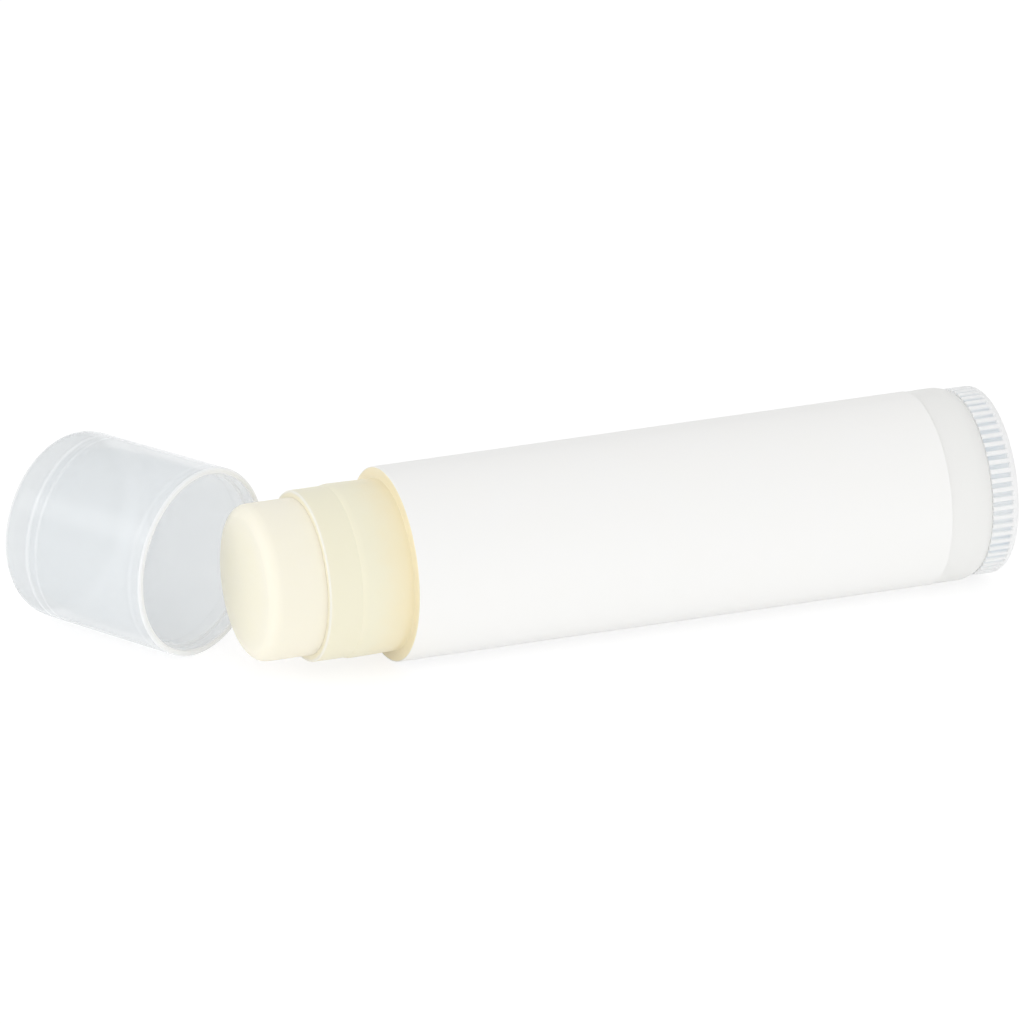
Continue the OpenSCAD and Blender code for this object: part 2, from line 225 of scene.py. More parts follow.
class BalmSizes(bpy.types.PropertyGroup):
    radius: length("Radius", "Radius of the stick of balm", 6.445)
    tip_out: length("Tip out", "How far the tip stands out of the neck", 4.8)
    tip_round: length("Tip rounding", "Rounding of the tip's edge", 1.1)
    rim_at: length("Cup's rim", "Distance from the shoulder to the rim of the carrier's cup", 27.15)
    foot: length("Foot", "Radius of the balm's foot in the cup", 5.6)
    hole: length("Hole", "Radius of the hole that the spindle leaves", 2.65)
    hole_tip: length("Hole tip", "Distance from the shoulder to the hole's tip, in the neck", 7.75)


class CapSizes(bpy.types.PropertyGroup):
    mouth: length("Mouth", "Outer radius at the mouth", 7.88)
    end: length("End", "Outer radius at the closed end", 7.76)
    length: length("Length", "Length of the cap", 15.45)
    end_round: length("End rounding", "Rounding of the closed end's edge", 2.0)
    lip_round: length("Lip rounding", "Rounding of the mouth's outer edge", 0.2)
    lead_in: length("Lead-in", "Radius of the wider lead-in at the mouth", 7.37)
    lead_in_len: length("Lead-in length", "Depth of the lead-in", 1.1)
    lead_in_round: length("Lead-in rounding", "Rounding of the lead-in's edge", 0.1)
    ring: length("Ring", "Radius inside the snap ring", 7.09)
    ring_len: length("Ring length", "Length of the snap ring", 1.2)
    ring_round: length("Ring rounding", "Rounding of the snap ring's edges", 0.03)
    bore: length("Bore", "Radius of the stretch that grips the neck", 7.17)
    grip_len: length("Grip", "Depth to which the bore grips the neck", 8.0)
    deep: length("Deep bore", "Radius of the bore behind the grip", 6.95)
    step_len: length("Step length", "Length of the step from the grip to the deep bore", 1.2)
    step_round: length("Step rounding", "Rounding of that step", 0.4)
    ledge: length("Ledge", "Distance of the inner ledge from the closed end", 3.4)
    ledge_len: length("Ledge length", "Length of the inner ledge", 0.9)
    ledge_step: length("Ledge step", "Height of each step of the inner ledge", 0.25)
    ledge_ramp: length("Ledge ramp", "Length of each step's ramp", 0.1)
    end_wall: length("End wall", "Thickness of the closed end", 1.6)
    fillet: length("Fillet", "Radius of the fillet inside the closed end", 0.7)


class Colours(bpy.types.PropertyGroup):
    barrel: colour("Barrel", "Natural polypropylene of the barrel's bare end", "#F9F9F6")
    neck: colour("Neck", "Natural polypropylene over the balm", "#FCF6DE")
    shoulder: colour("Shoulder", "Where the balm's colour gathers at the shoulder", "#FEF1D0")
    label: colour("Label", "White film of the label", "#F7F7F6")
    dial: colour("Dial", "Natural polypropylene of the dial", "#F6F7F7")
    # Painted shade between the dial's ribs, for the grooves and the hollow inside
    dial_gap_shade: colour("Dial gaps", "Thin wall between the dial's ribs", "#E3E9EE")
    carrier: colour("Carrier", "Natural polypropylene of the carrier", "#F0F0EC")
    balm: colour("Balm", "Poured wax balm", "#FDF4E3")
    balm_core: colour("Balm core", "Middle of the balm's end face", "#FCF3DC")
    cap: colour("Cap", "Clarified natural polypropylene of the cap", "#EFF3F6")
    # Whiter for the thick wall, and painted highlight on the lip, the closed end's rounding and the steps
    # inside
    cap_thick_and_highlit: colour("Cap, thick", "The cap's lip and closed end, where the wall is thick", "#F8FAFB")


def add_node(tree, kind, settings=None, inputs=None):
    """Adds a node with its settings. An input that is given another node's output is linked to it."""
    node = tree.nodes.new(kind)
    for name, value in (settings or {}).items():
        setattr(node, name, value)
    for name, value in (inputs or {}).items():
        if isinstance(value, bpy.types.NodeSocket):
            tree.links.new(value, node.inputs[name])
        else:
            node.inputs[name].default_value = value
    return node


def new_material(name):
    """An empty node material, and its tree."""
    material = bpy.data.materials.new(name)
    material.use_nodes = True
    material.node_tree.nodes.clear()
    return material, material.node_tree


def finish_material(tree, shader):
    """Makes a shader the material's surface."""
    add_node(tree, "ShaderNodeOutputMaterial", inputs={"Surface": shader.outputs[0]})


def tinted(base, red, green, blue):
    """A colour with its red, green and blue each times a factor."""
    return [base[0] * red, base[1] * green, base[2] * blue, base[3]]


def surface_grain(tree, place, grain, height, strength, detail=2.0):
    """A fine unevenness, as wide as grain and as deep as height. Gives its noise and the normal it makes."""
    noise = add_node(
        tree, "ShaderNodeTexNoise", inputs={"Vector": place, "Scale": 1 / grain, "Detail": detail}
    )
    bump = add_node(
        tree, "ShaderNodeBump",
        inputs={"Height": noise.outputs["Fac"], "Strength": strength, "Distance": height},
    )
    return noise.outputs["Fac"], bump.outputs["Normal"]


def axis_place(tree, place, origin, axis):
    """Distance of the shaded point along an axis from its origin, and from the axis, in metres."""
    offset = add_node(tree, "ShaderNodeVectorMath", {"operation": "SUBTRACT"}, {0: place, 1: origin})
    offset = offset.outputs["Vector"]
    along = add_node(tree, "ShaderNodeVectorMath", {"operation": "DOT_PRODUCT"}, {0: offset, 1: axis})
    across = add_node(tree, "ShaderNodeVectorMath", {"operation": "CROSS_PRODUCT"}, {0: offset, 1: axis})
    radius = add_node(tree, "ShaderNodeVectorMath", {"operation": "LENGTH"}, {0: across.outputs["Vector"]})
    return along.outputs["Value"], radius.outputs["Value"]


def masked(tree, share, edges):
    """A mask up to share. Each (value, start, end) of edges fades it in as value goes from start to end."""
    for value, start, end in edges:
        edge = add_node(
            tree, "ShaderNodeMapRange", SMOOTH, {"Value": value, "From Min": start, "From Max": end}
        )
        share = add_node(tree, "ShaderNodeMath", TIMES, {0: share, 1: edge.outputs["Result"]}).outputs[0]
    return share


def barrel_material(colours, sizes, shoulder):
    # Natural polypropylene, injection moulded: milky, the balm's cream in the neck and amber at the shoulder
    material, tree = new_material("natural_pp_moulded_barrel")
    place = add_node(tree, "ShaderNodeTexCoord").outputs["Object"]
    noise, normal = surface_grain(tree, place, grain=1.6 * MM, height=0.02 * MM, strength=0.12)
    along, radius = axis_place(tree, place, shoulder, TUBE_AXIS)

    # The amber's edge wanders 0.75 mm forward and back
    wander = add_node(
        tree, "ShaderNodeMath", {"operation": "MULTIPLY_ADD"}, {0: noise, 1: 1.5 * MM, 2: -0.75 * MM}
    )
    edge = add_node(tree, "ShaderNodeMath", {"operation": "ADD"}, {0: along, 1: wander.outputs[0]}).outputs[0]
    amber = masked(tree, 1, [(edge, -3.8 * MM, -0.2 * MM)])
    bare = masked(tree, 1, [(along, 2 * MM, 30 * MM)])

    # In the neck, only the mouth's outer edge comes near the bare end's white
    front = (along, 0.2 * MM - sizes.neck_len, 0.05 * MM - sizes.neck_len)
    outer = (radius, sizes.neck - 0.3 * MM, sizes.neck - 0.1 * MM)
    lip = masked(tree, 0.6, [front, outer])
    tint = colours.neck
    for mask, layer in ((amber, colours.shoulder), (bare, colours.barrel), (lip, colours.barrel)):
        mix = add_node(
            tree, "ShaderNodeMix", COLOUR_MIX, {"Factor": mask, FIRST_COLOUR: tint, SECOND_COLOUR: layer}
        )
        tint = mix.outputs[MIXED_COLOUR]
    shader = add_node(
        tree, "ShaderNodeBsdfPrincipled", SCATTER,
        {
            "Base Color": tint, "Normal": normal, "Roughness": 0.38, "IOR": POLYPROPYLENE_IOR,
            "Transmission Weight": 0.08, "Subsurface Weight": 0.3, "Subsurface Radius": EVEN_DEPTH,
            "Subsurface Scale": 0.12 * MM,
        },
    )
    finish_material(tree, shader)
    return material


def label_material(colours):
    # White polypropylene film, blank, wrapped round the barrel: satin, slightly uneven from the adhesive
    material, tree = new_material("white_film_wrapped_label")
    place = add_node(tree, "ShaderNodeTexCoord").outputs["Object"]
    noise, normal = surface_grain(tree, place, grain=3.5 * MM, height=0.03 * MM, strength=0.2)
    warm = tinted(colours.label, 1, 0.995, 0.985)
    mix = add_node(
        tree, "ShaderNodeMix", COLOUR_MIX,
        {"Factor": noise, FIRST_COLOUR: colours.label, SECOND_COLOUR: warm},
    )
    shader = add_node(
        tree, "ShaderNodeBsdfPrincipled",
        inputs={
            "Base Color": mix.outputs[MIXED_COLOUR], "Normal": normal, "Roughness": 0.42,
            "IOR": POLYPROPYLENE_IOR,
        },
    )
    finish_material(tree, shader)
    return material


def dial_material(colours, sizes, shoulder, start, end):
    # Natural polypropylene, injection moulded, with painted shade: a blue-grey tint between the ribs, for the
    # grooves and hollow inside
    material, tree = new_material("natural_pp_moulded_dial")
    place = add_node(tree, "ShaderNodeTexCoord").outputs["Object"]
    _, normal = surface_grain(tree, place, grain=1.2 * MM, height=0.02 * MM, strength=0.25)
    along, radius = axis_place(tree, place, shoulder, TUBE_AXIS)

    # The painted shade between the ribs is stronger in patches about 8 mm wide
    shade_patches = add_node(
        tree, "ShaderNodeTexNoise", {"noise_dimensions": "4D"},
        {"Vector": place, "Scale": 1 / (8 * MM), "Detail": 1.0, "W": 2.3},
    )
    clear = add_node(
        tree, "ShaderNodeMapRange", SMOOTH,
        {"Value": shade_patches.outputs["Fac"], "From Min": 0.35, "From Max": 0.55, "To Min": 0.45},
    )
    between_ribs = (radius, sizes.crest, sizes.root)
    off_barrel = (along, start + 0.01 * MM, start + 0.08 * MM)
    off_rim = (along, end, end - 0.2 * MM)
    # Painted shade: deepest at the ribs' root, faded out beside the barrel and before the rim
    gap = masked(tree, clear.outputs["Result"], [between_ribs, off_barrel, off_rim])
    mix = add_node(
        tree, "ShaderNodeMix", COLOUR_MIX,
        {"Factor": gap, FIRST_COLOUR: colours.dial, SECOND_COLOUR: colours.dial_gap_shade},
    )
    shader = add_node(
        tree, "ShaderNodeBsdfPrincipled", SCATTER,
        {
            "Base Color": mix.outputs[MIXED_COLOUR], "Normal": normal, "Roughness": 0.42,
            "IOR": POLYPROPYLENE_IOR, "Transmission Weight": 0.04, "Subsurface Weight": 0.6,
            "Subsurface Radius": EVEN_DEPTH, "Subsurface Scale": 0.3 * MM,
        },
    )
    finish_material(tree, shader)
    return material


def carrier_material(colours):
    # Natural polypropylene, injection moulded: milky white and satin
    material, tree = new_material("natural_pp_moulded_carrier")
    place = add_node(tree, "ShaderNodeTexCoord").outputs["Object"]
    noise, normal = surface_grain(tree, place, grain=1.2 * MM, height=0.02 * MM, strength=0.25)
    dull = tinted(colours.carrier, 0.97, 0.98, 0.99)
    mix = add_node(
        tree, "ShaderNodeMix", COLOUR_MIX,
        {"Factor": noise, FIRST_COLOUR: colours.carrier, SECOND_COLOUR: dull},
    )
    shader = add_node(
        tree, "ShaderNodeBsdfPrincipled", SCATTER,
        {
            "Base Color": mix.outputs[MIXED_COLOUR], "Normal": normal, "Roughness": 0.4,
            "IOR": POLYPROPYLENE_IOR, "Subsurface Weight": 0.3, "Subsurface Radius": EVEN_DEPTH,
            "Subsurface Scale": 0.3 * MM,
        },
    )
    finish_material(tree, shader)
    return material


def balm_material(colours, sizes, shoulder):
    # Beeswax and oil balm, poured warm: waxy with a soft sheen, yellower in the core of the end face
    material, tree = new_material("wax_balm_poured")
    place = add_node(tree, "ShaderNodeTexCoord").outputs["Object"]
    noise, normal = surface_grain(tree, place, grain=2.2 * MM, height=0.05 * MM, strength=0.3, detail=4.0)
    _, radius = axis_place(tree, place, shoulder, TUBE_AXIS)
    outer = masked(tree, 1, [(radius, 0.45 * sizes.radius, sizes.radius)])
    cloudy = add_node(tree, "ShaderNodeMath", TIMES, {0: noise, 1: 0.5}).outputs[0]
    cloud = tinted(colours.balm, 0.985, 0.99, 1.01)
    tint = colours.balm_core
    for mask, layer in ((outer, colours.balm), (cloudy, cloud)):
        mix = add_node(
            tree, "ShaderNodeMix", COLOUR_MIX, {"Factor": mask, FIRST_COLOUR: tint, SECOND_COLOUR: layer}
        )
        tint = mix.outputs[MIXED_COLOUR]
    shader = add_node(
        tree, "ShaderNodeBsdfPrincipled", SCATTER,
        {
            "Base Color": tint, "Normal": normal, "Roughness": 0.6, "IOR": WAX_IOR,
            "Subsurface Weight": 0.6, "Subsurface Radius": EVEN_DEPTH, "Subsurface Scale": 0.4 * MM,
        },
    )
    finish_material(tree, shader)
    return material


def cap_material(colours, sizes, mouth):
    # Clarified natural polypropylene, injection moulded: translucent and cool, whiter where the wall is thick
    # and where highlights are painted
    material, tree = new_material("clarified_pp_moulded_cap")
    place = add_node(tree, "ShaderNodeTexCoord").outputs["Object"]
    _, normal = surface_grain(tree, place, grain=2.4 * MM, height=0.03 * MM, strength=0.25)
    along, _ = axis_place(tree, place, mouth, CAP_AXIS)
    # The lip and the closed end's rim are whiter and more opaque, partly for their thicker wall and partly as
    # painted highlights on their roundings
    lip = masked(tree, 1, [(along, 0.3 * MM, 0.1 * MM)])
    rim = masked(tree, 1, [(along, sizes.length - 1.2 * MM, sizes.length - 0.6 * MM)])

    # Painted highlights on the lead-in's end and the ledge's two steps, seen through the wall as pale bands:
    # middle, reach and share
    ledge_end = sizes.length - sizes.ledge
    highlight_bands = (
        (sizes.lead_in_len, 0.35 * MM, 0.16),
        (ledge_end, 0.3 * MM, 0.65),
        (ledge_end - sizes.ledge_len, 0.25 * MM, 0.35),
    )
    thick_and_highlit = add_node(tree, "ShaderNodeMath", LARGER, {0: lip, 1: rim}).outputs[0]
    for middle, reach, share in highlight_bands:
        highlight_band = masked(tree, share, [(along, middle - reach, middle), (along, middle + reach, middle)])
        thick_and_highlit = add_node(tree, "ShaderNodeMath", LARGER, {0: thick_and_highlit, 1: highlight_band}).outputs[0]
    mix = add_node(
        tree, "ShaderNodeMix", COLOUR_MIX,
        {"Factor": thick_and_highlit, FIRST_COLOUR: colours.cap, SECOND_COLOUR: colours.cap_thick_and_highlit},
    )
    solid = add_node(tree, "ShaderNodeMapRange", inputs={"Value": thick_and_highlit, "To Min": 0.42, "To Max": 0.8})
    shader = add_node(
        tree, "ShaderNodeBsdfPrincipled",
        inputs={
            "Base Color": mix.outputs[MIXED_COLOUR], "Alpha": solid.outputs["Result"], "Normal": normal,
            "Roughness": 0.2, "IOR": POLYPROPYLENE_IOR,
        },
    )
    finish_material(tree, shader)
    return material


def paper_material():
    # White sweep paper, matt: the light that it throws back, and the nearly white face that it shows
    material, tree = new_material("white_sweep_paper")
    path = add_node(tree, "ShaderNodeLightPath")
    seen = path.outputs["Is Camera Ray"]
    for ray in ("Is Glossy Ray", "Is Transmission Ray"):
        seen = add_node(tree, "ShaderNodeMath", LARGER, {0: seen, 1: path.outputs[ray]}).outputs[0]
    papers = []
    for shade, glow in (PAPER_FOR_LIGHT, PAPER_FOR_EYE):
        sheet = add_node(tree, "ShaderNodeBsdfDiffuse", inputs={"Color": (shade, shade, shade, 1)})
        light = add_node(tree, "ShaderNodeEmission", inputs={"Color": WHITE, "Strength": glow})
        both = add_node(tree, "ShaderNodeAddShader", inputs={0: sheet.outputs[0], 1: light.outputs[0]})
        papers.append(both.outputs[0])
    mix = add_node(tree, "ShaderNodeMixShader", inputs={0: seen, 1: papers[0], 2: papers[1]})
    finish_material(tree, mix)
    return material


def tube_place(sizes):
    """Takes a piece drawn upright, along Z from the shoulder towards the dial, to its place in the frame."""
    shoulder = Vector((LABEL_LOW.x - sizes.label_gap, AXIS_Y, AXIS_Z))
    return Matrix.Translation(shoulder) @ Matrix.Rotation(QUARTER_TURN, 4, "Y")


def cap_place(sizes):
    """Takes the cap, drawn upright from its mouth, to its place in the frame."""
    mouth = CAP_GRIP - CAP_AXIS * (sizes.lead_in_len + sizes.grip_len) / 2
    heading = math.atan2(CAP_AXIS.y, CAP_AXIS.x)
    dip = math.asin(-CAP_AXIS.z)
    turn = Matrix.Rotation(heading, 4, "Z") @ Matrix.Rotation(QUARTER_TURN + dip, 4, "Y")
    return Matrix.Translation(mouth) @ turn


def turn_outline(bm, outline, closed):
    """Spins an outline of (radius, along, rounding) points round Z, and rounds each ring with a rounding."""
    verts = [bm.verts.new((radius, 0, along)) for radius, along, _ in outline]
    ends = verts[1:] + verts[:1] if closed else verts[1:]
    edges = [bm.edges.new(pair) for pair in zip(verts, ends)]
    bmesh.ops.spin(
        bm, geom=verts + edges, cent=(0, 0, 0), axis=(0, 0, 1), angle=math.tau, steps=ROUND_FACES,
        use_merge=True,
    )
    bmesh.ops.remove_doubles(bm, verts=bm.verts, dist=WELD)
    for radius, along, rounding in outline:
        if rounding:
            on_ring = {
                vert for vert in bm.verts
                if abs(vert.co.z - along) < ON_RING and abs(vert.co.xy.length - radius) < ON_RING
            }
            ring = [edge for edge in bm.edges if on_ring.issuperset(edge.verts)]
            bmesh.ops.bevel(
                bm, geom=ring, offset=rounding, offset_type="OFFSET", segments=EDGE_FACES, profile=0.5,
                affect="EDGES", clamp_overlap=True, material=-1,
            )


def set_radius(vert, radius):
    """Moves a vertex straight out from Z, or in towards it, to a radius."""
    here = vert.co.xy.length
    vert.co.x *= radius / here
    vert.co.y *= radius / here


def next_ring(bm, edges, along, radius=None):
    """Extrudes a ring of edges to the height along, and to a radius where one is given."""
    made = bmesh.ops.extrude_edge_only(bm, edges=edges)["geom"]
    for vert in (item for item in made if isinstance(item, bmesh.types.BMVert)):
        if radius is not None:
            set_radius(vert, radius)
        vert.co.z = along
    return [item for item in made if isinstance(item, bmesh.types.BMEdge)]


def close_with_rings(bm, edges, outline):
    """Extrudes a ring of edges through the (radius, along) points of an outline, and closes the last ring."""
    for radius, along in outline:
        edges = next_ring(bm, edges, along, radius)
    bmesh.ops.edgeloop_fill(bm, edges=edges)


def make_piece(name, bm, place, material, body, nodes):
    """Finishes a bmesh as a piece: in its place, smooth, with its material and body, and hides its CAD nodes.
    """
    bmesh.ops.remove_doubles(bm, verts=bm.verts, dist=LAST_WELD)
    bmesh.ops.recalc_face_normals(bm, faces=bm.faces)
    bmesh.ops.transform(bm, matrix=place, verts=bm.verts)
    for face in bm.faces:
        face.smooth = True
    mesh = bpy.data.meshes.new(name)
    bm.to_mesh(mesh)
    bm.free()
    mesh.set_sharp_from_angle(angle=SHARP)
    mesh.materials.append(material)
    piece = bpy.data.objects.new(name, mesh)
    bpy.context.scene.collection.objects.link(piece)
    shading = piece.modifiers.new("weighted_normals", "WEIGHTED_NORMAL")
    shading.keep_sharp = True
    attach(piece, body)
    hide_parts(*nodes)


def cut_key_grooves(bm, sizes):
    """Sinks the two grooves that the carrier's keys run in into the wall of the bore."""
    faces = []
    for face in bm.faces:
        middle = face.calc_center_median()
        on_bore = all(abs(vert.co.xy.length - sizes.bore) < ON_RING for vert in face.verts)
        in_groove = abs(middle.y) < sizes.key_groove_wide / 2
        if on_bore and in_groove and sizes.key_groove_start < middle.z < sizes.key_groove_end:
            faces.append(face)
    made = bmesh.ops.extrude_face_region(bm, geom=faces)["geom"]
    for vert in (item for item in made if isinstance(item, bmesh.types.BMVert)):
        vert.co.x *= sizes.key_groove / sizes.bore
        vert.co.y *= sizes.key_groove / sizes.bore
    bmesh.ops.delete(bm, geom=faces, context="FACES")


class LIPBALM_OT_barrel(bpy.types.Operator):
    """Builds the barrel with its neck, snap bead and rounded far end"""

    bl_idname = "lipbalm.barrel"
    bl_label = "Barrel"

    def execute(self, context):
        sizes = context.scene.lipbalm_tube
        flare_z = sizes.label_gap * 2 + sizes.label_len
        round_z = sizes.barrel_len - sizes.end_round_len
        end_arc = []
        for k in range(1, ARC_FACES + 1):
            along = sizes.end_round_len * k / ARC_FACES
            drop = sizes.end_round - math.sqrt(sizes.end_round**2 - along**2)
            end_arc.append((sizes.flare - drop, round_z + along, 0))
        outline = [
            (sizes.bore, -sizes.neck_len, 0),
            (sizes.neck, -sizes.neck_len, sizes.lip_round),
            (sizes.neck, -sizes.bead_at - sizes.bead_ramp, 0),
            (sizes.bead, -sizes.bead_at, sizes.bead_round),
            (sizes.neck_root, 0, sizes.root_round),
            (sizes.barrel, 0, sizes.shoulder_round),
            (sizes.barrel, flare_z, 0),
            (sizes.flare, flare_z + sizes.flare_len, 0),
            (sizes.flare, round_z, 0),
            *end_arc,
            (sizes.bore, sizes.barrel_len, 0),
            (sizes.bore, sizes.snap_end, 0),
            (sizes.bore + sizes.snap, sizes.snap_end, 0),
            (sizes.bore + sizes.snap, sizes.snap_start, 0),
            (sizes.bore, sizes.snap_start, 0),
            (sizes.bore, sizes.key_groove_end, 0),
            (sizes.bore, sizes.key_groove_start, 0),
        ]
        bm = bmesh.new()
        turn_outline(bm, outline, closed=True)
        cut_key_grooves(bm, sizes)
        place = tube_place(sizes)
        material = barrel_material(context.scene.lipbalm_colours, sizes, place.translation)
        make_piece("barrel_shell", bm, place, material, "tube", ["barrel"])
        return {"FINISHED"}


class LIPBALM_OT_label(bpy.types.Operator):
    """Builds the white label round the barrel"""

    bl_idname = "lipbalm.label"
    bl_label = "Label"

    def execute(self, context):
        sizes = context.scene.lipbalm_tube
        inside = sizes.barrel + sizes.label_lift
        low = sizes.label_gap - sizes.label_over
        high = sizes.label_gap + sizes.label_len
        outline = [
            (inside, low, 0),
            (sizes.label, low, sizes.label_round),
            (sizes.label, high, sizes.label_round),
            (inside, high, 0),
        ]
        bm = bmesh.new()
        turn_outline(bm, outline, closed=True)
        material = label_material(context.scene.lipbalm_colours)
        make_piece("label_wrap", bm, tube_place(sizes), material, "tube", ["label"])
        return {"FINISHED"}


def start_ribs(bm, sizes, wheel_z):
    """Draws the ribs' section round the wheel and rounds its edge beside the barrel. Gives both end rings."""
    half = math.pi / sizes.ribs
    root_half = sizes.rib_root / 2 / sizes.root
    crest_half = sizes.rib_crest / 2 / sizes.crest
    section = [
        (sizes.root, -half),
        (sizes.root, -root_half),
        (sizes.crest, -crest_half),
        (sizes.crest, crest_half),
        (sizes.root, root_half),
        (sizes.root, half),
    ]
    verts = [bm.verts.new((r * math.cos(turn), r * math.sin(turn), wheel_z)) for r, turn in section]
    edges = [bm.edges.new(pair) for pair in zip(verts, verts[1:])]
    bmesh.ops.spin(
        bm, geom=verts + edges, cent=(0, 0, 0), axis=(0, 0, 1), angle=math.tau, steps=sizes.ribs,
        use_duplicate=True, use_merge=False,
    )
    bmesh.ops.remove_doubles(bm, verts=bm.verts, dist=WELD)
    first = list(bm.edges)
    ring = first
    for degrees in (30, 60, 90):
        rise = sizes.inner_round * (1 - math.cos(math.radians(degrees)))
        ring = next_ring(bm, ring, wheel_z + rise)
    for vert in bm.verts:
        turn = math.acos(max(-1, min(1, 1 - (vert.co.z - wheel_z) / sizes.inner_round)))
        limit = sizes.crest - sizes.inner_round * (1 - math.sin(turn))
        if vert.co.xy.length > limit:
            set_radius(vert, limit)
    return first, ring


def finish_wheel(bm, sizes, ring, end_z):
    """Runs the ribs out into the plain rim, and closes the wheel with its rounded end and its recess."""
    rim_z = end_z - sizes.end_round
    recess_z = end_z - sizes.recess_depth
    ring = next_ring(bm, ring, rim_z - sizes.rim_ramp)
    outline = [(sizes.crest, rim_z)]
    for k in range(1, ARC_FACES + 1):
        turn = QUARTER_TURN * k / ARC_FACES
        radius = sizes.crest - sizes.end_round * (1 - math.cos(turn))
        outline.append((radius, end_z - sizes.end_round * (1 - math.sin(turn))))
    outline += [
        (sizes.recess + sizes.recess_edge, end_z),
        (sizes.recess, end_z - sizes.recess_edge),
        (sizes.recess, recess_z + sizes.recess_foot),
        (sizes.recess - sizes.recess_foot, recess_z),
        (POLE, recess_z),
    ]
    close_with_rings(bm, ring, outline)


def add_spindle(bm, sizes, tube, ring, wheel_z):
    """Builds the journal, its snap ring and the spindle's core, from the wheel's ring beside the barrel."""
    snap = tube.bore + sizes.snap
    snap_z = tube.barrel_len - sizes.snap_at
    journal_z = tube.barrel_len - sizes.journal_len
    inside = sizes.journal - sizes.journal_wall
    outline = [
        (sizes.journal, wheel_z),
        (sizes.journal, snap_z + sizes.snap_ramp),
        (snap, snap_z + sizes.snap_ramp),
        (snap, snap_z),
        (sizes.journal, snap_z - sizes.snap_ramp),
        (sizes.journal, journal_z + sizes.journal_edge),
        (sizes.journal - sizes.journal_edge, journal_z),
        (inside, journal_z),
        (inside, wheel_z),
        (sizes.core, wheel_z),
        (sizes.core, sizes.spindle_cone - sizes.spindle_tip),
        (sizes.core - sizes.spindle_cone, -sizes.spindle_tip),
    ]
    close_with_rings(bm, ring, outline)


def add_thread(bm, sizes, tube):
    """Winds the thread's section down the spindle, from inside the journal to the spindle's tip."""
    near = tube.barrel_len - sizes.journal_len + sizes.thread_root / 4
    far = sizes.spindle_cone - sizes.spindle_tip + sizes.thread_root
    turns = (near - far) / sizes.lead
    steps = round(turns * THREAD_STEPS)
    flank = (sizes.thread_root - sizes.thread_crest) / sizes.thread
    foot = sizes.core - sizes.thread_sunk
    foot_half = (sizes.thread_root + flank * sizes.thread_sunk) / 2
    crest = sizes.core + sizes.thread
    crest_half = sizes.thread_crest / 2
    corners = [(foot, -foot_half), (crest, -crest_half), (crest, crest_half), (foot, foot_half)]
    verts = [bm.verts.new((radius, 0, near + along)) for radius, along in corners]
    face = bm.faces.new(verts)
    bmesh.ops.spin(
        bm, geom=[face, *face.edges, *verts], cent=(0, 0, 0), axis=(0, 0, 1),
        dvec=(0, 0, -turns * sizes.lead / steps), angle=turns * math.tau, steps=steps,
    )


class LIPBALM_OT_dial(bpy.types.Operator):
    """Builds the ribbed dial with its journal and threaded spindle"""

    bl_idname = "lipbalm.dial"
    bl_label = "Dial"

    def execute(self, context):
        tube = context.scene.lipbalm_tube
        sizes = context.scene.lipbalm_dial
        wheel_z = tube.barrel_len + sizes.slit
        end_z = tube.barrel_len + sizes.gap + sizes.width
        bm = bmesh.new()
        first, ring = start_ribs(bm, sizes, wheel_z)
        finish_wheel(bm, sizes, ring, end_z)
        add_spindle(bm, sizes, tube, first, wheel_z)
        add_thread(bm, sizes, tube)
        place = tube_place(tube)
        colours = context.scene.lipbalm_colours
        material = dial_material(colours, sizes, place.translation, wheel_z, end_z - sizes.end_round)
        make_piece("dial_wheel", bm, place, material, "dial", ["dial"])
        return {"FINISHED"}


class LIPBALM_OT_carrier(bpy.types.Operator):
    """Gives the carrier's CAD solid its moulded finish"""

    bl_idname = "lipbalm.carrier"
    bl_label = "Carrier"

    def execute(self, context):
        material = carrier_material(context.scene.lipbalm_colours)
        carrier = frame["nodes"]["carrier"]
        for item in carrier.material_slots:
            item.material = material
        return {"FINISHED"}


class LIPBALM_OT_balm(bpy.types.Operator):
    """Builds the stick of balm"""

    bl_idname = "lipbalm.balm"
    bl_label = "Balm"

    def execute(self, context):
        tube = context.scene.lipbalm_tube
        sizes = context.scene.lipbalm_balm
        place = tube_place(tube)
        tip = -tube.neck_len - sizes.tip_out
        foot_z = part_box("balm")[1].x - place.translation.x
        outline = [
            (0, tip, 0),
            (sizes.radius, tip, sizes.tip_round),
            (sizes.radius, sizes.rim_at, 0),
            (sizes.foot, sizes.rim_at, 0),
            (sizes.foot, foot_z, 0),
            (sizes.hole, foot_z, 0),
            (sizes.hole, -sizes.hole_tip, 0),
            (0, -sizes.hole_tip, 0),
        ]
        bm = bmesh.new()
        turn_outline(bm, outline, closed=False)
        material = balm_material(context.scene.lipbalm_colours, sizes, place.translation)
        make_piece("balm_stick", bm, place, material, "stick", ["balm"])
        return {"FINISHED"}


